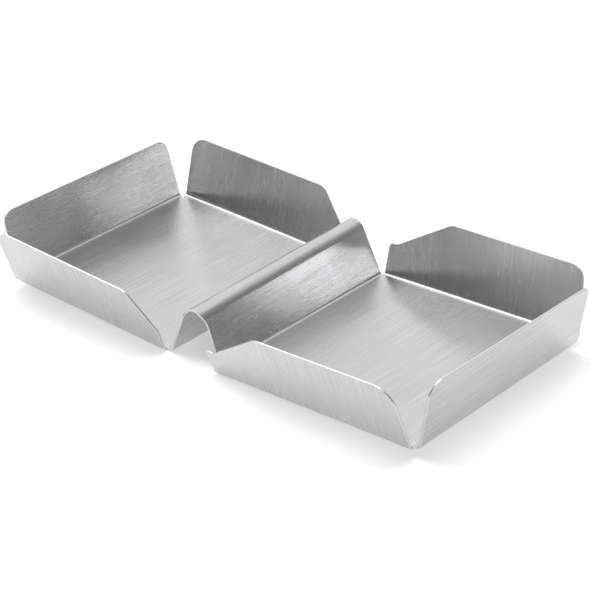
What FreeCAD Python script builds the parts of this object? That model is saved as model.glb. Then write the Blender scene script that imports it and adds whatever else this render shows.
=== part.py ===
import FreeCAD, Part
import os
from math import asin, atan2, cos, degrees, hypot, radians, sin, tan

# Double counting tray, folded from one sheet of stainless steel, in millimetres.
# Two shallow trays stand side by side, joined by a hollow ridge, and every wall is a flap
# folded up from a floor. +X runs from the left tray to the right one, +Y from the front to
# the back and +Z up. The origin is on the table, under the middle of the bounding box.

# The sheet
thickness = 1.0
fold_radius = 2.0  # inside radius of every fold beside a floor

# The ridge, an upside-down U between the trays. It was folded by hand, so its crown runs a
# little askew between the two base folds, and its front edge is cut aslant.
ridge_height = 27.5
crown_radius = 6.5  # outside radius
ridge_fold_x = 16.44  # from the ridge's middle to the centre line of a base fold
crown_front_shift = 1.7  # from the ridge's middle to the crown's, to the right
crown_back_shift = -0.9
ridge_back = 58.9  # from the middle of the floors to the ridge's back edge

# The front edge of the ridge, seen from above and from left to right. It runs straight on
# to the left of the first point and to the right of the last.
ridge_front = [(-4.2, -59.2), (-1.4, -57.4), (5.8, -57.4), (8.8, -55.4)]

# Both trays
tray_tilt = 2.0  # degrees by which each floor rises away from the ridge
floor_width = 117.0  # between the front and back folds
floor_notch = 2.7  # how far the notch at an outer corner reaches into the floor
ear_fillet = 3.0  # between an ear's flat top and the slope
end_wall_angle = 76.0  # wall angles are the degrees that a wall is folded up from its floor

# Each tray's length is between the centre lines of its two folds
floor_length = {"left": 110.5, "right": 119.5}

# Heights are measured along the wall, from its fold, and edges and tips along the fold, from
# the ridge's end of it. A long wall's outer edge is the one beside the end wall. Beside the
# ridge the wall is cut down to a low ear, and a sloping edge climbs from the ear to the
# wall's full height.
side_walls = {
    "left_front_wall": {
        "fold_angle": 71.5,
        "ear_edge": 1.1,
        "ear_tip": 0.3,
        "ear_height": 11.2,
        "ear_round": 2.5,
        "ear_flat": 0.0,
        "slope_angle": 56.5,
        "slope_round": 7.0,
        "slope_height": 32.6,
        "outer_height": 34.1,
        "outer_edge": 110.3,
        "outer_tip": 108.4,
        "outer_round": 10.5,
    },
    "left_back_wall": {
        "fold_angle": 77.0,
        "ear_edge": 0.3,
        "ear_tip": -0.2,
        "ear_height": 14.9,
        "ear_round": 2.5,
        "ear_flat": 0.0,
        "slope_angle": 49.0,
        "slope_round": 7.0,
        "slope_height": 31.7,
        "outer_height": 32.0,
        "outer_edge": 110.2,
        "outer_tip": 108.8,
        "outer_round": 9.0,
    },
    "right_front_wall": {
        "fold_angle": 74.0,
        "ear_edge": 0.0,
        "ear_tip": -1.0,
        "ear_height": 12.4,
        "ear_round": 1.2,
        "ear_flat": 5.7,
        "slope_angle": 31.3,
        "slope_round": 12.0,
        "slope_height": 32.7,
        "outer_height": 33.2,
        "outer_edge": 119.3,
        "outer_tip": 118.5,
        "outer_round": 10.5,
    },
    "right_back_wall": {
        "fold_angle": 77.0,
        "ear_edge": 0.0,
        "ear_tip": 1.6,
        "ear_height": 15.0,
        "ear_round": 2.6,
        "ear_flat": 4.7,
        "slope_angle": 28.6,
        "slope_round": 9.0,
        "slope_height": 33.0,
        "outer_height": 31.9,
        "outer_edge": 119.3,
        "outer_tip": 118.3,
        "outer_round": 8.0,
    },
}

# An end wall's front and back edges lie so far from the middle of its fold
end_walls = {
    "left_end_wall": {
        "front_edge": 57.6,
        "front_tip": 57.0,
        "front_height": 32.1,
        "front_round": 7.0,
        "back_edge": 57.8,
        "back_tip": 56.9,
        "back_height": 30.9,
        "back_round": 6.0,
    },
    "right_end_wall": {
        "front_edge": 57.7,
        "front_tip": 57.7,
        "front_height": 33.2,
        "front_round": 8.5,
        "back_edge": 54.9,
        "back_tip": 55.8,
        "back_height": 31.1,
        "back_round": 4.5,
    },
}

# Worked out from the sizes above
outer_fold_radius = fold_radius + thickness
half_width = floor_width / 2
crown_centre_z = ridge_height - crown_radius
crown_rise = crown_centre_z - outer_fold_radius  # from the ridge's base folds to its crown
ridge_front_end = min(y for x, y in ridge_front)

x_axis = FreeCAD.Vector(1, 0, 0)
y_axis = FreeCAD.Vector(0, 1, 0)
z_axis = FreeCAD.Vector(0, 0, 1)
centre = FreeCAD.Vector(0, 0, 0)


def outline_face(corners, place):
    """A flat face with straight sides and rounded corners. Each corner is (x, y, radius),
    and place turns an x and a y into a point in space."""
    sides = []
    starts = []
    ends = []
    for index, (x, y, radius) in enumerate(corners):
        corner = FreeCAD.Vector(x, y, 0)
        before = (FreeCAD.Vector(*corners[index - 1][:2], 0) - corner).normalize()
        after = (FreeCAD.Vector(*corners[(index + 1) % len(corners)][:2], 0) - corner).normalize()
        half_angle = before.getAngle(after) / 2
        reach = radius / tan(half_angle)
        starts.append(corner + before * reach)
        ends.append(corner + after * reach)
        if radius > 0:
            towards = (before + after).normalize()
            middle = corner + towards * (radius / sin(half_angle) - radius)
            points = [place(p.x, p.y) for p in (starts[-1], middle, ends[-1])]
            sides.append(Part.Arc(*points).toShape())
    for index, end in enumerate(ends):
        start = starts[(index + 1) % len(starts)]
        sides.append(Part.LineSegment(place(end.x, end.y), place(start.x, start.y)).toShape())
    return Part.Face(Part.Wire(Part.__sortEdges__(sides)))


def band(point_at, turns, inner_radius, outer_radius):
    """The outline of a curved band. point_at turns a radius and an angle in degrees into a
    point, and turns are the angles at the band's two ends."""
    first, last = turns
    inner = [point_at(inner_radius, turn) for turn in (first, (first + last) / 2, last)]
    outer = [point_at(outer_radius, turn) for turn in (last, (first + last) / 2, first)]
    return Part.Wire([
        Part.Arc(*inner).toShape(),
        Part.LineSegment(inner[2], outer[0]).toShape(),
        Part.Arc(*outer).toShape(),
        Part.LineSegment(outer[2], inner[0]).toShape(),
    ])


def flap(corners, angle):
    """A wall and the fold that it stands on. The fold's centre line is the X axis, the floor
    ends below it and the wall rises outwards, to +Y. corners is the wall's flat outline,
    as X along the fold and height above it, and it starts and ends on the fold."""
    turn = radians(angle)
    up_the_wall = FreeCAD.Vector(0, cos(turn), sin(turn))
    into_the_tray = FreeCAD.Vector(0, -sin(turn), cos(turn))
    first_x = corners[0][0]
    last_x = corners[-1][0]

    def on_fold(radius, lean):
        return FreeCAD.Vector(first_x, radius * sin(radians(lean)), -radius * cos(radians(lean)))

    def on_wall(x, height):
        return x_axis * x - into_the_tray * outer_fold_radius + up_the_wall * height

    section = band(on_fold, (0, angle), fold_radius, outer_fold_radius)
    fold = Part.Face(section).extrude(x_axis * (last_x - first_x))
    wall = outline_face(corners, on_wall).extrude(into_the_tray * thickness)
    return fold.fuse(wall).removeSplitter()


def turned(shape, angle, axis):
    """The shape turned by so many degrees about an axis through the centre."""
    copy = shape.copy()
    copy.rotate(centre, axis, angle)
    return copy


def moved(shape, offset):
    """The shape moved by an offset."""
    copy = shape.copy()
    copy.translate(offset)
    return copy


def floor(length, front_wall, back_wall, end_wall):
    """The flat floor, with a notch between the folds at each outer corner."""
    notch_x = length - floor_notch
    notch_y = half_width - floor_notch
    corners = [
        (0, -half_width, 0),
        (front_wall["outer_edge"], -half_width, 0),
        (notch_x, -notch_y, 0),
        (length, -end_wall["front_edge"], 0),
        (length, end_wall["back_edge"], 0),
        (notch_x, notch_y, 0),
        (back_wall["outer_edge"], half_width, 0),
        (0, half_width, 0),
    ]

    def on_floor(x, y):
        return FreeCAD.Vector(x, y, -outer_fold_radius)

    return outline_face(corners, on_floor).extrude(z_axis * thickness)


def end_flap(length, wall):
    """The wall across the tray's outer end, with two rounded top corners."""
    corners = [
        (-wall["back_edge"], 0, 0),
        (-wall["back_tip"], wall["back_height"], wall["back_round"]),
        (wall["front_tip"], wall["front_height"], wall["front_round"]),
        (wall["front_edge"], 0, 0),
    ]
    return moved(turned(flap(corners, end_wall_angle), -90, z_axis), x_axis * length)


def side_flap(wall):
    """A long wall at the back of the tray, with the low ear and the sloping edge."""
    slope_run = (wall["slope_height"] - wall["ear_height"]) / tan(radians(wall["slope_angle"]))
    slope_foot = wall["ear_tip"] + wall["ear_flat"]
    corners = [(wall["ear_edge"], 0, 0), (wall["ear_tip"], wall["ear_height"], wall["ear_round"])]
    if wall["ear_flat"] > 0:
        corners.append((slope_foot, wall["ear_height"], ear_fillet))
    corners += [
        (slope_foot + slope_run, wall["slope_height"], wall["slope_round"]),
        (wall["outer_tip"], wall["outer_height"], wall["outer_round"]),
        (wall["outer_edge"], 0, 0),
    ]
    return moved(flap(corners, wall["fold_angle"]), y_axis * half_width)


def tray_parts(side):
    """The floor and the three walls of one tray, tilted and to the right of the ridge."""
    length = floor_length[side]
    front_wall = side_walls[side + "_front_wall"]
    back_wall = side_walls[side + "_back_wall"]
    end_wall = end_walls[side + "_end_wall"]
    flat = {
        "floor": floor(length, front_wall, back_wall, end_wall),
        "end_wall": end_flap(length, end_wall),
        "front_wall": side_flap(front_wall).mirror(centre, y_axis),
        "back_wall": side_flap(back_wall),
    }
    place = FreeCAD.Vector(ridge_fold_x, 0, outer_fold_radius)
    return {name: moved(turned(shape, -tray_tilt, y_axis), place) for name, shape in flat.items()}


def flank_angle(shift):
    """How steep the flank is on the right of the ridge, in degrees, where the crown stands so
    far to the right. The flank touches the crown's round and the base fold's."""
    run = ridge_fold_x - shift
    reach = hypot(run, crown_rise)
    return degrees(atan2(crown_rise, run) + asin((crown_radius + fold_radius) / reach))


def flank_section(shift, y):
    """The outline across the right flank and its base fold, where the crown stands so far to
    the right."""
    angle = flank_angle(shift)

    def on_fold(radius, turn):
        lean = radians(tray_tilt - turn)
        x = ridge_fold_x + radius * sin(lean)
        return FreeCAD.Vector(x, y, outer_fold_radius - radius * cos(lean))

    def on_crown(radius):
        x = shift + radius * sin(radians(angle))
        return FreeCAD.Vector(x, y, crown_centre_z + radius * cos(radians(angle)))

    last_turn = angle + tray_tilt
    inner = [on_fold(fold_radius, turn) for turn in (0, last_turn / 2, last_turn)]
    outer = [on_fold(outer_fold_radius, turn) for turn in (last_turn, last_turn / 2, 0)]
    upper = on_crown(crown_radius)
    lower = on_crown(crown_radius - thickness)
    return Part.Wire([
        Part.Arc(*inner).toShape(),
        Part.LineSegment(inner[2], upper).toShape(),
        Part.LineSegment(upper, lower).toShape(),
        Part.LineSegment(lower, outer[0]).toShape(),
        Part.Arc(*outer).toShape(),
        Part.LineSegment(outer[2], inner[0]).toShape(),
    ])


def crown_section(shift, y):
    """The outline across the crown, between the tops of the two flanks."""

    def on_crown(radius, turn):
        x = shift + radius * sin(radians(turn))
        return FreeCAD.Vector(x, y, crown_centre_z + radius * cos(radians(turn)))

    turns = (-flank_angle(-shift), flank_angle(shift))
    return band(on_crown, turns, crown_radius - thickness, crown_radius)


def ridge_parts():
    """The ridge's crown and its two flanks, with the aslant front edge."""
    ends = ((crown_front_shift, ridge_front_end), (crown_back_shift, ridge_back))
    crown = Part.makeLoft([crown_section(shift, y) for shift, y in ends], True, True)
    right = Part.makeLoft([flank_section(shift, y) for shift, y in ends], True, True)
    left = Part.makeLoft([flank_section(-shift, y) for shift, y in ends], True, True)
    left = left.mirror(centre, x_axis)
    beyond = 2 * ridge_fold_x
    first_y = ridge_front[0][1]
    last_y = ridge_front[-1][1]
    ahead = ridge_front_end - 1
    outline = [(-beyond, ahead), (-beyond, first_y), *ridge_front, (beyond, last_y), (beyond, ahead)]
    points = [FreeCAD.Vector(x, y, -1) for x, y in outline]
    waste = Part.Face(Part.makePolygon(points + points[:1])).extrude(z_axis * (ridge_height + 2))
    shapes = {"ridge_crown": crown, "left_ridge_flank": left, "right_ridge_flank": right}
    return {name: shape.cut(waste) for name, shape in shapes.items()}


def build():
    """Every panel by node name, with the origin under the middle of the bounding box."""
    nodes = ridge_parts()
    for name, shape in tray_parts("left").items():
        nodes["left_" + name] = shape.mirror(centre, x_axis)
    for name, shape in tray_parts("right").items():
        nodes["right_" + name] = shape
    box = Part.makeCompound(list(nodes.values())).optimalBoundingBox(False)
    to_origin = FreeCAD.Vector(-box.Center.x, -box.Center.y, -box.ZMin)
    return {name: moved(shape, to_origin) for name, shape in nodes.items()}


os.makedirs("parts", exist_ok=True)
for node, solid in build().items():
    solid.exportStep("parts/" + node + ".step")
    print(node, "valid" if solid.isValid() else "NOT VALID", len(solid.Solids), round(solid.Volume, 1))
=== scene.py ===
from math import asin, atan2, cos, degrees, hypot, radians, sin, sqrt, tan

import bmesh
import bpy
from mathutils import Matrix, Vector


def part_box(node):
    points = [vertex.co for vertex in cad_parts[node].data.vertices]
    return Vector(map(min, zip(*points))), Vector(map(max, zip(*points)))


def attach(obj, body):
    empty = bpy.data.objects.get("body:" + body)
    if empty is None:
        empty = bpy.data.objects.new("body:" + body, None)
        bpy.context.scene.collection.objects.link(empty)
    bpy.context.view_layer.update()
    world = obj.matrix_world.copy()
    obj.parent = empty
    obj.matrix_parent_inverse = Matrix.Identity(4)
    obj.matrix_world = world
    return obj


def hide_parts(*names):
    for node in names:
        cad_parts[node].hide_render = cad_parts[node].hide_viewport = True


# Double counting tray, folded from one sheet of brushed stainless steel. Each of the sheet's
# eleven panels is built flat, with rounded cut edges, and then folded into its place. Its UV
# map is the sheet as it lay flat, so the grain runs on over every fold. Lengths in metres.

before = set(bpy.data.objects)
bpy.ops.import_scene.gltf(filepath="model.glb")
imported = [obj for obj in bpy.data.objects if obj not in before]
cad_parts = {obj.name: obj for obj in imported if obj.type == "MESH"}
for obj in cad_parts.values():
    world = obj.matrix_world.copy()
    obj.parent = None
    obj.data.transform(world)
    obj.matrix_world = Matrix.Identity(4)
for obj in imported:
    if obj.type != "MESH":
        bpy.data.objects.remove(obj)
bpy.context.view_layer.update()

mm = 0.001

# The sheet
thickness = 1.0 * mm
fold_radius = 2.0 * mm  # inside radius of every fold beside a floor
edge_round = 0.2 * mm  # rounding of the cut edges

# The ridge. Its crown runs a little askew between the base folds.
ridge_height = 27.5 * mm
crown_radius = 6.5 * mm
ridge_fold_x = 16.44 * mm  # from the ridge's middle to the centre line of a base fold
crown_front_shift = 1.7 * mm  # from the ridge's middle to the crown's, to the right
crown_back_shift = -0.9 * mm
ridge_back = 58.9 * mm  # from the middle of the floors to the ridge's back edge

# The ridge's front edge seen from above, in mm from the ridge's middle
ridge_front = [(-4.2, -59.2), (-1.4, -57.4), (5.8, -57.4), (8.8, -55.4)]

# Both trays
tray_tilt = 2.0  # how far a floor rises away from the ridge, in degrees like every angle here
half_width = 58.5 * mm
floor_notch = 2.7 * mm  # depth of the notch at a floor's outer corner
ear_fillet = 3.0  # in mm, where a flat-topped ear meets the slope
end_wall_angle = 76.0
floor_length = {"left": 110.5 * mm, "right": 119.5 * mm}

# The walls' flat outlines. A corner is (x, height, radius) in mm, with x from the start of the
# fold and the height above it. A slope is (x of its foot, angle, radius of its top corner).
side_walls = {
    "left_front_wall": {
        "fold_angle": 71.5,
        "ear": [(1.1, 0, 0), (0.3, 11.2, 2.5)],
        "slope": (0.3, 56.5, 7.0),
        "slope_height": 32.6,
        "outer": [(108.4, 34.1, 10.5), (110.3, 0, 0)],
    },
    "left_back_wall": {
        "fold_angle": 77.0,
        "ear": [(0.3, 0, 0), (-0.2, 14.9, 2.5)],
        "slope": (-0.2, 49.0, 7.0),
        "slope_height": 31.7,
        "outer": [(108.8, 32.0, 9.0), (110.2, 0, 0)],
    },
    "right_front_wall": {
        "fold_angle": 74.0,
        "ear": [(0, 0, 0), (-1.0, 12.4, 1.2), (4.7, 12.4, ear_fillet)],
        "slope": (4.7, 31.3, 12.0),
        "slope_height": 32.7,
        "outer": [(118.5, 33.2, 10.5), (119.3, 0, 0)],
    },
    "right_back_wall": {
        "fold_angle": 77.0,
        "ear": [(0, 0, 0), (1.6, 15.0, 2.6), (6.3, 15.0, ear_fillet)],
        "slope": (6.3, 28.6, 9.0),
        "slope_height": 33.0,
        "outer": [(118.3, 31.9, 8.0), (119.3, 0, 0)],
    },
}
end_walls = {
    "left_end_wall": [(57.6, 0, 0), (57.0, 32.1, 7.0), (-56.9, 30.9, 6.0), (-57.8, 0, 0)],
    "right_end_wall": [(57.7, 0, 0), (57.7, 33.2, 8.5), (-55.8, 31.1, 4.5), (-54.9, 0, 0)],
}

# How finely the pieces are meshed
arc_steps = 12  # segments round a corner of an outline
fold_steps = 14  # rows of faces across a fold
crown_steps = 36  # rows of faces across the ridge's crown
edge_steps = 3  # rows of faces in the rounding of a cut edge
cut_tolerance = 1e-7  # how near to a row's line a point counts as on it
straight_limit = 0.005  # sine of the turn under which an outline runs straight on

# The sheet's brushed faces
grain_dark = (0.47, 0.47, 0.475, 1)
grain_light = (0.68, 0.68, 0.685, 1)
smudge_grey = (0.56, 0.56, 0.56, 1)
speck_grey = (0.16, 0.155, 0.15, 1)
smudge_strength = 0.35
speck_strength = 0.7
grain_range = (0.35, 0.65)  # of the noise, from the darkest grain to the lightest
noise_range = (0.3, 0.7)  # of the noise, from the smoothest steel to the roughest
smudge_range = (0.45, 0.75)  # of the smudges' noise, from none to the full strength
smudge_rough_range = (0.4, 0.8)
speck_range = (0.79, 0.82)  # of the specks' noise, from none to the full strength
hairline_share = 0.8  # of the grain, and the streaks are the rest
streak_share = 0.2
band_relief = 0.2  # of the grain's own relief
steel_roughness = (0.22, 0.27)
band_roughness = (-0.02, 0.02)  # added to the steel's
smudge_roughness = (0.0, 0.07)  # added to the steel's
steel_anisotropy = 0.8
steel_bump = 0.18

# Its cut edges
edge_dark = (0.58, 0.58, 0.585, 1)
edge_light = (0.76, 0.76, 0.765, 1)
edge_roughness = (0.34, 0.5)
edge_bump = 0.4
bump_distance = 0.02 * mm  # for both materials

# The studio's floor and room
white = (1, 1, 1, 1)
floor_radius = 3.0
floor_segments = 96
floor_grey = (0.85, 0.85, 0.85, 1)
floor_roughness = 0.9
floor_glow = 0.38
glow_direction = (-0.5, 0.45, 0.72)  # towards the room's bright side
# (place from the dark side, 0, to the bright side, 1, and the brightness there)
glow_steps = [(0.3, 0.22), (0.62, 0.24), (0.8, 0.4), (0.92, 1.1), (1.0, 1.15)]

# The studio's lights: name, size, power in watts and place. All of them point at light_aim.
softboxes = [
    ("left_softbox", (0.8, 0.8), 3.6, (-0.87, -0.14, 1.05)),
    ("overhead_softbox", (0.7, 0.7), 5, (0, 0, 1.4)),
    ("side_softbox", (0.4, 0.3), 2.8, (0.93, -0.66, 0.40)),
]
light_aim = (0, 0, 0)

# Worked out from the sizes above
half_thickness = thickness / 2
outer_fold_radius = fold_radius + thickness
crown_centre_z = ridge_height - crown_radius
crown_rise = crown_centre_z - outer_fold_radius


def flank_angle(shift):
    """How steep the right flank is where the crown stands so far to the right."""
    run = ridge_fold_x - shift
    return degrees(
        atan2(crown_rise, run) + asin((crown_radius + fold_radius) / hypot(run, crown_rise))
    )


def fold_length(angle):
    """How much of the sheet a fold takes up, along the middle of its thickness."""
    return radians(angle) * (fold_radius + half_thickness)


middle_angle = flank_angle(0)
ridge_fold = fold_length(middle_angle + tray_tilt)
flank_length = (
    ridge_fold_x * cos(radians(middle_angle)) + crown_rise * sin(radians(middle_angle))
)
crown_half = radians(middle_angle) * (crown_radius - half_thickness)  # half the flat crown


# --- Panels of sheet metal ---


def outline(corners):
    """The points round a flat panel, as (x, y, cut). Each corner is (x, y, radius, cut), and
    cut says whether the side that leaves the corner is a cut edge and not a joint."""
    points = []
    for index, (x, y, radius, cut) in enumerate(corners):
        corner = Vector((x, y))
        before = (Vector(corners[index - 1][:2]) - corner).normalized()
        after = (Vector(corners[(index + 1) % len(corners)][:2]) - corner).normalized()
        if radius == 0:
            points.append((x, y, cut))
            continue
        half_angle = before.angle(after) / 2
        centre = corner + (before + after).normalized() * (radius / sin(half_angle))
        first = (corner + before * (radius / tan(half_angle)) - centre).normalized()
        last = (corner + after * (radius / tan(half_angle)) - centre).normalized()
        for step in range(arc_steps + 1):
            point = centre + first.slerp(last, step / arc_steps) * radius
            points.append((point.x, point.y, cut))
    return points


def outward(points):
    """For each outline point, the direction out of the panel, and the move that takes it in
    from the cut edges beside it by one unit. A joint stays where it is."""
    normals = []
    moves = []
    for index, (x, y, cut_after) in enumerate(points):
        x0, y0, cut_before = points[index - 1]
        x1, y1, _ = points[(index + 1) % len(points)]
        before = Vector((y - y0, x0 - x)).normalized()
        after = Vector((y1 - y, x - x1)).normalized()
        sides = [side for side, cut in ((before, cut_before), (after, cut_after)) if cut]
        normals.append(sum(sides or [before, after], Vector((0, 0))).normalized())
        if abs(before.cross(after)) > straight_limit:
            slopes = Matrix((before, after))
            moves.append(slopes.inverted() @ Vector((-float(cut_before), -float(cut_after))))
        else:
            moves.append(-normals[-1] if sides else Vector((0, 0)))
    return normals, moves


def edge_rings():
    """(inset, depth) of each ring of points, from the sheet's inside face to its outside."""
    half = []
    for step in range(edge_steps + 1):
        turn = radians(90) * step / edge_steps
        half.append((edge_round * (1 - sin(turn)), edge_round * (1 - cos(turn))))
    return half + [(inset, thickness - depth) for inset, depth in reversed(half)]


def flat_panel(corners, rows):
    """A closed flat panel as a bmesh. Its inside face is at z 0 and it is cut across at each
    y in rows. The layer "side" keeps each point's direction out of the panel."""
    points = outline(corners)
    normals, moves = outward(points)
    panel = bmesh.new()
    side = panel.verts.layers.float_vector.new("side")
    rings = []
    for inset, depth in edge_rings():
        ring = []
        for (x, y, _), normal, move in zip(points, normals, moves):
            vert = panel.verts.new((x + move.x * inset, y + move.y * inset, -depth))
            vert[side] = normal.to_3d()
            ring.append(vert)
        rings.append(ring)
    panel.faces.new(rings[0])
    panel.faces.new(reversed(rings[-1]))
    for upper, lower in zip(rings, rings[1:]):
        for index in range(len(upper)):
            corner = (upper[index - 1], lower[index - 1], lower[index], upper[index])
            panel.faces.new(corner).material_index = 1
    for y in rows:
        bmesh.ops.bisect_plane(
            panel,
            geom=panel.verts[:] + panel.edges[:] + panel.faces[:],
            dist=cut_tolerance,
            plane_co=(0, y, 0),
            plane_no=(0, 1, 0),
        )
    return panel


def stay_flat(x, y, depth):
    """A floor: the panel lies flat below the centre lines of the folds round it."""
    return Vector((x, y, -fold_radius - depth)), Vector((1, 0, 0)), Vector((0, 1, 0))


def folded(angle):
    """A wall: the sheet turns up round the X axis, from y 0, and then runs straight."""
    length = fold_length(angle)

    def bend(x, y, depth):
        turn = radians(angle) * min(y / length, 1)
        along = Vector((0, cos(turn), sin(turn)))
        away = Vector((0, sin(turn), -cos(turn)))
        point = Vector((x, 0, 0)) + away * (fold_radius + depth) + along * max(y - length, 0)
        return point, Vector((1, 0, 0)), along

    return bend


def between_ends(side, section, x_front, x_back):
    """A bend that changes evenly from the ridge's front end to its back end. section gives
    the point and the direction along y for a crown shift, at y and depth. side is -1 for a
    panel that is mirrored to the left, and 1 for any other."""

    def bend(x, y, depth):
        part = (x - x_front) / (x_back - x_front)
        front, along_front = section(crown_front_shift * side, y, depth)
        back, along_back = section(crown_back_shift * side, y, depth)
        front.y = x_front
        back.y = x_back
        along_x = (back - front).normalized()
        return front.lerp(back, part), along_x, along_front.lerp(along_back, part).normalized()

    return bend


def flank_section(shift, y, depth):
    """Across the right flank, from the floor up its base fold to the crown."""
    angle = radians(flank_angle(shift))
    if y < ridge_fold:
        turn = (angle + radians(tray_tilt)) * y / ridge_fold - radians(tray_tilt)
        away = Vector((-sin(turn), 0, -cos(turn)))
        along = Vector((-cos(turn), 0, sin(turn)))
        fold_centre = Vector((ridge_fold_x, 0, outer_fold_radius))
        return fold_centre + away * (fold_radius + depth), along
    up = (y - ridge_fold) / flank_length
    out = Vector((sin(angle), 0, cos(angle)))
    foot = Vector((ridge_fold_x, 0, outer_fold_radius)) - out * (fold_radius + depth)
    head = Vector((shift, 0, crown_centre_z)) + out * (crown_radius - depth)
    return foot.lerp(head, up), (head - foot).normalized()


def crown_section(shift, y, depth):
    """Across the crown, from the left flank's top to the right one's."""
    left = -radians(flank_angle(-shift))
    right = radians(flank_angle(shift))
    turn = left + (right - left) * (y / crown_half + 1) / 2
    out = Vector((sin(turn), 0, cos(turn)))
    along = Vector((cos(turn), 0, -sin(turn)))
    return Vector((shift, 0, crown_centre_z)) + out * (crown_radius - depth), along


def make_piece(node, corners, rows, bend, place, unfold):
    """Folds a panel into the shape of a CAD node. bend gives the point, the direction along x
    and the direction along y for a flat point. place puts the bent panel in the frame, and
    unfold puts the flat panel in the sheet as it was cut."""
    panel = flat_panel(corners, rows)
    side = panel.verts.layers.float_vector["side"]
    sheet_map = panel.loops.layers.uv.new("sheet")
    for face in panel.faces:
        for loop in face.loops:
            co = loop.vert.co
            reach = loop.vert[side] * -co.z * face.material_index
            spot = unfold @ (Vector((co.x, co.y, 0)) + reach)
            loop[sheet_map].uv = (spot.x, spot.y)
    normals = []
    for vert in panel.verts:
        depth = -vert.co.z
        point, along_x, along_y = bend(vert.co.x, vert.co.y, depth)
        facing = max(edge_round - min(depth, thickness - depth), 0) / edge_round
        if depth > half_thickness:
            facing = -facing
        out = (along_x * vert[side].x + along_y * vert[side].y) * sqrt(1 - min(facing**2, 1))
        normal = out + along_x.cross(along_y) * facing
        normals.append((place.to_3x3() @ normal).normalized())
        vert.co = place @ point
    if place.determinant() < 0:
        bmesh.ops.reverse_faces(panel, faces=panel.faces[:])
    mesh = bpy.data.meshes.new(node)
    panel.to_mesh(mesh)
    panel.free()
    for face in mesh.polygons:
        face.use_smooth = True
    mesh.normals_split_custom_set_from_vertices(normals)
    mesh.materials.append(brushed_steel)
    mesh.materials.append(cut_steel)
    piece = bpy.data.objects.new(node + "_panel", mesh)
    bpy.context.scene.collection.objects.link(piece)
    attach(piece, "root")
    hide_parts(node)


def fold_rows(length):
    """Where a panel is cut across, so that the fold at its foot is round."""
    return [length * step / fold_steps for step in range(1, fold_steps + 1)]


def wall_corners(points, angle):
    """The outline of a wall and its fold, from the wall's corners in mm. They run from the
    outer end of the fold, anticlockwise, to its other end."""
    base = fold_length(angle)
    first_x = points[0][0] * mm
    last_x = points[-1][0] * mm
    above = [(x * mm, base + y * mm, radius * mm, True) for x, y, radius in points]
    return [(first_x, 0, 0, True), *above, (last_x, 0, 0, False)]


def side_wall_points(wall):
    """The corners of a long wall, with its low ear and its sloping edge."""
    foot_x, slope_angle, slope_round = wall["slope"]
    ear_height = wall["ear"][-1][1]
    top_x = foot_x + (wall["slope_height"] - ear_height) / tan(radians(slope_angle))
    slope_top = (top_x, wall["slope_height"], slope_round)
    return [*reversed(wall["outer"]), slope_top, *reversed(wall["ear"])]


def floor_corners(length, front_wall, back_wall, end_wall):
    """A floor, joined on all four sides, with a notch at each outer corner."""
    notch_x = length - floor_notch
    notch_y = half_width - floor_notch
    front_fold_end = front_wall["outer"][-1][0] * mm
    back_fold_end = back_wall["outer"][-1][0] * mm
    end_fold_front = -end_wall[0][0] * mm
    end_fold_back = -end_wall[-1][0] * mm
    return [
        (0, -half_width, 0, False),
        (front_fold_end, -half_width, 0, True),
        (notch_x, -notch_y, 0, True),
        (length, end_fold_front, 0, False),
        (length, end_fold_back, 0, True),
        (notch_x, notch_y, 0, True),
        (back_fold_end, half_width, 0, False),
        (0, half_width, 0, False),
    ]


def shifted(x, y, z):
    """A move by so much along each axis."""
    return Matrix.Translation((x, y, z))


def build_tray(name, ridge_middle):
    """The floor and three walls of one tray. The left tray is built as a right one, with its
    own sizes, and then mirrored."""
    mirror = Matrix.Diagonal((-1 if name == "left" else 1, 1, 1, 1))
    length = floor_length[name]
    front_wall = side_walls[name + "_front_wall"]
    back_wall = side_walls[name + "_back_wall"]
    end_wall = end_walls[name + "_end_wall"]
    front_angle = front_wall["fold_angle"]
    back_angle = back_wall["fold_angle"]
    place_tray = (
        Matrix.Translation(ridge_middle)
        @ mirror
        @ shifted(ridge_fold_x, 0, outer_fold_radius)
        @ Matrix.Rotation(radians(-tray_tilt), 4, "Y")
    )
    unfold_tray = mirror @ shifted(crown_half + flank_length + ridge_fold, 0, 0)
    to_back = shifted(0, half_width, 0)
    to_front = Matrix.Diagonal((1, -1, 1, 1)) @ to_back
    to_end = shifted(length, 0, 0) @ Matrix.Rotation(radians(-90), 4, "Z")
    panels = {
        "floor": (
            floor_corners(length, front_wall, back_wall, end_wall),
            [],
            stay_flat,
            Matrix.Identity(4),
        ),
        "end_wall": (
            wall_corners(end_wall, end_wall_angle),
            fold_rows(fold_length(end_wall_angle)),
            folded(end_wall_angle),
            to_end,
        ),
        "front_wall": (
            wall_corners(side_wall_points(front_wall), front_angle),
            fold_rows(fold_length(front_angle)),
            folded(front_angle),
            to_front,
        ),
        "back_wall": (
            wall_corners(side_wall_points(back_wall), back_angle),
            fold_rows(fold_length(back_angle)),
            folded(back_angle),
            to_back,
        ),
    }
    for part, (corners, rows, bend, to_tray) in panels.items():
        node = name + "_" + part
        make_piece(node, corners, rows, bend, place_tray @ to_tray, unfold_tray @ to_tray)


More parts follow.
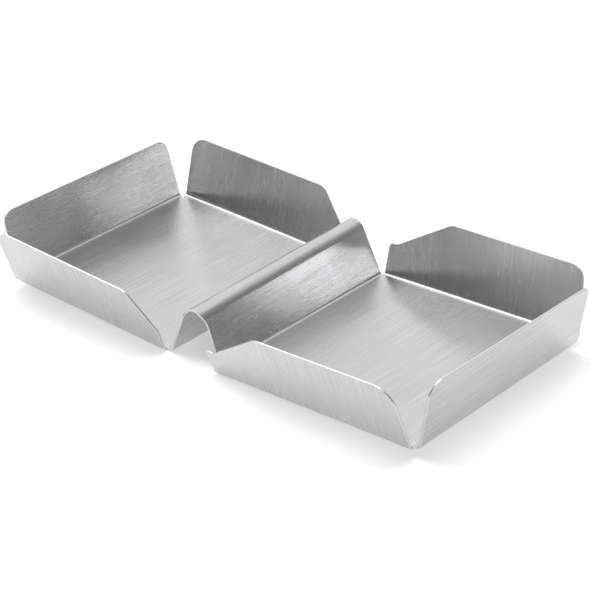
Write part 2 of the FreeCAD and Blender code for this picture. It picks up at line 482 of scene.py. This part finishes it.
def build_ridge(ridge_middle):
    """The two flanks and the crown, as long as the ridge and cut aslant at the front."""
    front = [(x * mm, y * mm) for x, y in ridge_front]
    front_end = front[0][1]
    top = ridge_fold + flank_length
    place = Matrix.Translation(ridge_middle)
    left_turn = -radians(flank_angle(-crown_front_shift))
    right_turn = radians(flank_angle(crown_front_shift))

    # Where the front edge's last stretch crosses from the crown to the right flank, at top_y,
    # and how far up the flank it ends, at last_up
    crown_right = crown_front_shift + crown_radius * sin(right_turn)
    (kink_x, kink_y), (last_x, last_y) = front[-2:]
    top_y = kink_y + (last_y - kink_y) * (crown_right - kink_x) / (last_x - kink_x)
    foot_x = ridge_fold_x - fold_radius * sin(right_turn)
    last_up = ridge_fold + flank_length * (foot_x - last_x) / (foot_x - crown_right)

    left_flank = [
        (front_end, 0, 0, False),
        (ridge_back, 0, 0, True),
        (ridge_back, top, 0, False),
        (front_end, top, 0, True),
    ]
    right_flank = [
        (last_y, 0, 0, False),
        (ridge_back, 0, 0, True),
        (ridge_back, top, 0, False),
        (top_y, top, 0, True),
        (last_y, last_up, 0, True),
    ]
    flank_rows = fold_rows(ridge_fold)
    for name, corners, side in (("left", left_flank, -1), ("right", right_flank, 1)):
        mirror = Matrix.Diagonal((side, 1, 1, 1))
        unfold = mirror @ shifted(crown_half + top, 0, 0) @ Matrix.Rotation(radians(90), 4, "Z")
        bend = between_ends(side, flank_section, front_end, ridge_back)
        make_piece(name + "_ridge_flank", corners, flank_rows, bend, place @ mirror, unfold)

    # The flat crown runs from left to right along y, and its x points to the front
    front_corners = []
    for x, y in front[1:-1]:
        turn = asin((x - crown_front_shift) / crown_radius)
        across = 2 * (turn - left_turn) / (right_turn - left_turn) - 1
        front_corners.append((-y, across * crown_half, 0, True))
    crown = [
        (-ridge_back, -crown_half, 0, False),
        (-front_end, -crown_half, 0, True),
        *front_corners,
        (-top_y, crown_half, 0, False),
        (-ridge_back, crown_half, 0, True),
    ]
    crown_rows = [crown_half * (2 * step / crown_steps - 1) for step in range(1, crown_steps)]
    towards_back = between_ends(1, crown_section, front_end, ridge_back)

    def over_crown(x, y, depth):
        point, along_x, along_y = towards_back(-x, y, depth)
        return point, -along_x, along_y

    unfold = Matrix.Rotation(radians(-90), 4, "Z")
    make_piece("ridge_crown", crown, crown_rows, over_crown, place, unfold)


# --- Materials ---


def new_material(name):
    """An empty node material, its nodes and a Principled shader joined to its output."""
    material = bpy.data.materials.new(name)
    material.use_nodes = True
    nodes = material.node_tree.nodes
    nodes.clear()
    shader = nodes.new("ShaderNodeBsdfPrincipled")
    output = nodes.new("ShaderNodeOutputMaterial")
    material.node_tree.links.new(shader.outputs["BSDF"], output.inputs["Surface"])
    return material, shader


class Nodes:
    """Short ways to add nodes to a material."""

    def __init__(self, material):
        self.tree = material.node_tree

    def add(self, kind, inputs=(), **settings):
        """A node with these settings. Each input is another node's socket or a plain value."""
        node = self.tree.nodes.new(kind)
        for key, value in settings.items():
            setattr(node, key, value)
        for key, value in dict(inputs).items():
            self.put(node.inputs[key], value)
        return node

    def put(self, socket, value):
        if isinstance(value, bpy.types.NodeSocket):
            self.tree.links.new(value, socket)
        else:
            socket.default_value = value

    def sheet_point(self, across, along):
        """The place on the flat sheet, scaled by how many features fit in a metre."""
        uv = self.add("ShaderNodeUVMap", uv_map="sheet").outputs["UV"]
        node = self.add(
            "ShaderNodeVectorMath", {0: uv, 1: (across, along, 1)}, operation="MULTIPLY"
        )
        return node.outputs[0]

    def noise(self, across, along, detail, roughness=0.5, seed=0.0):
        """Noise that fits so many features in a metre across and along the grain."""
        point = self.sheet_point(across, along)
        inputs = {"Vector": point, "W": seed, "Detail": detail, "Roughness": roughness, "Scale": 1}
        return self.add("ShaderNodeTexNoise", inputs, noise_dimensions="4D").outputs["Fac"]

    def spread(self, value, old, new):
        """Maps a value from one range to another, held inside it."""
        inputs = {0: value, 1: old[0], 2: old[1], 3: new[0], 4: new[1]}
        return self.add("ShaderNodeMapRange", inputs).outputs[0]

    def maths(self, operation, first, second):
        """One operation on two values."""
        return self.add("ShaderNodeMath", {0: first, 1: second}, operation=operation).outputs[0]

    def mix(self, factor, first, second):
        """One colour over another."""
        node = self.add("ShaderNodeMix", data_type="RGBA")  # its colours are inputs 6 and 7
        self.put(node.inputs[0], factor)
        self.put(node.inputs[6], first)
        self.put(node.inputs[7], second)
        return node.outputs[2]


def make_brushed_steel():
    """Stainless sheet with a fine straight grain, faint streaks, smudges and a few specks."""
    material, shader = new_material("brushed_steel")
    nodes = Nodes(material)
    hairlines = nodes.noise(across=3600, along=26, detail=3)
    streaks = nodes.noise(across=1300, along=11, detail=4, roughness=0.6, seed=3)
    bands = nodes.noise(across=160, along=5, detail=3, seed=7)
    smudges = nodes.noise(across=28, along=20, detail=4, roughness=0.6, seed=11)
    specks = nodes.noise(across=900, along=700, detail=1, seed=19)
    grain = nodes.maths(
        "ADD",
        nodes.maths("MULTIPLY", hairlines, hairline_share),
        nodes.maths("MULTIPLY", streaks, streak_share),
    )
    light = nodes.spread(grain, grain_range, (0, 1))
    veil = nodes.spread(smudges, smudge_range, (0, smudge_strength))
    speck = nodes.spread(specks, speck_range, (0, speck_strength))
    colour = nodes.mix(light, grain_dark, grain_light)
    colour = nodes.mix(veil, colour, smudge_grey)
    colour = nodes.mix(speck, colour, speck_grey)
    streak_rough = nodes.spread(streaks, noise_range, steel_roughness)
    band_rough = nodes.spread(bands, noise_range, band_roughness)
    smudge_rough = nodes.spread(smudges, smudge_rough_range, smudge_roughness)
    rough = nodes.maths("ADD", streak_rough, nodes.maths("ADD", band_rough, smudge_rough))
    height = nodes.maths("ADD", grain, nodes.maths("MULTIPLY", bands, band_relief))
    relief = {"Height": height, "Strength": steel_bump, "Distance": bump_distance}
    bump = nodes.add("ShaderNodeBump", relief)
    tangent = nodes.add("ShaderNodeTangent", direction_type="UV_MAP", uv_map="sheet")
    nodes.put(shader.inputs["Base Color"], colour)
    nodes.put(shader.inputs["Roughness"], rough)
    nodes.put(shader.inputs["Normal"], bump.outputs[0])
    nodes.put(shader.inputs["Tangent"], tangent.outputs[0])
    shader.inputs["Metallic"].default_value = 1.0
    shader.inputs["Anisotropic"].default_value = steel_anisotropy
    return material


def make_cut_steel():
    """The sheet's cut edges: bright bare metal with the fine marks of the deburring."""
    material, shader = new_material("cut_steel")
    nodes = Nodes(material)
    marks = nodes.noise(across=2600, along=2600, detail=3, seed=5)
    dents = nodes.noise(across=300, along=300, detail=2, seed=9)
    colour = nodes.mix(nodes.spread(marks, grain_range, (0, 1)), edge_dark, edge_light)
    height = nodes.maths("ADD", marks, dents)
    relief = {"Height": height, "Strength": edge_bump, "Distance": bump_distance}
    bump = nodes.add("ShaderNodeBump", relief)
    nodes.put(shader.inputs["Base Color"], colour)
    nodes.put(shader.inputs["Roughness"], nodes.spread(marks, noise_range, edge_roughness))
    nodes.put(shader.inputs["Normal"], bump.outputs[0])
    shader.inputs["Metallic"].default_value = 1.0
    return material


# --- Studio ---


def make_floor():
    """The pale disc that the object stands on. It glows a little, so shadows are faint."""
    material, shader = new_material("studio_floor")
    shader.inputs["Base Color"].default_value = floor_grey
    shader.inputs["Roughness"].default_value = floor_roughness
    shader.inputs["Emission Color"].default_value = white
    shader.inputs["Emission Strength"].default_value = floor_glow
    mesh = bmesh.new()
    bmesh.ops.create_circle(
        mesh, cap_ends=True, segments=floor_segments, radius=floor_radius
    )
    data = bpy.data.meshes.new("studio_floor")
    mesh.to_mesh(data)
    mesh.free()
    data.materials.append(material)
    floor = bpy.data.objects.new("studio_floor", data)
    bpy.context.scene.collection.objects.link(floor)


def add_light(name, size, power, place):
    """A rectangular soft light at place, pointing at light_aim."""
    light = bpy.data.lights.new(name, "AREA")
    light.shape = "RECTANGLE"
    light.size, light.size_y = size
    light.energy = power
    lamp = bpy.data.objects.new(name, light)
    lamp.location = place
    aim = Vector(light_aim) - Vector(place)
    lamp.rotation_euler = aim.to_track_quat("-Z", "Y").to_euler()
    bpy.context.scene.collection.objects.link(lamp)


def make_world():
    """A room that is bright on the side of the glow direction and dark on the other."""
    world = bpy.data.worlds.new("studio_room")
    world.use_nodes = True
    tree = world.node_tree
    tree.nodes.clear()
    place = tree.nodes.new("ShaderNodeTexCoord")
    towards = tree.nodes.new("ShaderNodeVectorMath")
    towards.operation = "DOT_PRODUCT"
    towards.inputs[1].default_value = Vector(glow_direction).normalized()
    spread = tree.nodes.new("ShaderNodeMapRange")
    spread.inputs[1].default_value = -1.0  # the dot product runs from -1 to 1
    ramp = tree.nodes.new("ShaderNodeValToRGB")
    background = tree.nodes.new("ShaderNodeBackground")
    output = tree.nodes.new("ShaderNodeOutputWorld")
    tree.links.new(place.outputs["Generated"], towards.inputs[0])
    tree.links.new(towards.outputs["Value"], spread.inputs[0])
    tree.links.new(spread.outputs[0], ramp.inputs[0])
    tree.links.new(ramp.outputs[0], background.inputs[0])
    tree.links.new(background.outputs[0], output.inputs[0])
    steps = ramp.color_ramp.elements
    while len(steps) < len(glow_steps):
        steps.new(0.5)  # moved to its place below
    for step, (position, shade) in zip(steps, glow_steps):
        step.position = position
        step.color = (shade, shade, shade, 1)
    background.inputs[1].default_value = 1.0
    bpy.context.scene.world = world


def add_camera(azimuth, elevation, roll, distance, aim, lens):
    """A camera that looks at aim from so many degrees round and up, turned by roll."""
    back = Vector((
        sin(radians(azimuth)) * cos(radians(elevation)),
        -cos(radians(azimuth)) * cos(radians(elevation)),
        sin(radians(elevation)),
    ))
    data = bpy.data.cameras.new("camera")
    data.lens = lens
    data.sensor_width = 36
    camera = bpy.data.objects.new("camera", data)
    level = Vector((cos(radians(azimuth)), sin(radians(azimuth)), 0))
    upright = back.cross(level)
    facing = Matrix((level, upright, back)).transposed().to_4x4()
    turn = facing @ Matrix.Rotation(radians(roll), 4, "Z")
    camera.matrix_world = Matrix.Translation(Vector(aim) + back * distance) @ turn
    bpy.context.scene.collection.objects.link(camera)
    bpy.context.scene.camera = camera


# --- The whole scene ---

left_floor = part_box("left_floor")
right_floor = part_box("right_floor")
ridge_middle = Vector((
    (left_floor[1].x + right_floor[0].x) / 2,
    (left_floor[0].y + left_floor[1].y) / 2,
    left_floor[0].z - outer_fold_radius * (1 - cos(radians(tray_tilt))),
))

brushed_steel = make_brushed_steel()
cut_steel = make_cut_steel()
build_ridge(ridge_middle)
build_tray("left", ridge_middle)
build_tray("right", ridge_middle)

make_floor()
make_world()
for name, size, power, place in softboxes:
    add_light(name, size, power, place)
add_camera(
    azimuth=44.985,
    elevation=28.436,
    roll=-4.134,
    distance=1.001293,
    aim=ridge_middle + Vector((-5.919, 17.739, 0)) * mm,
    lens=122.961,
)
bpy.context.scene.view_settings.view_transform = "Standard"
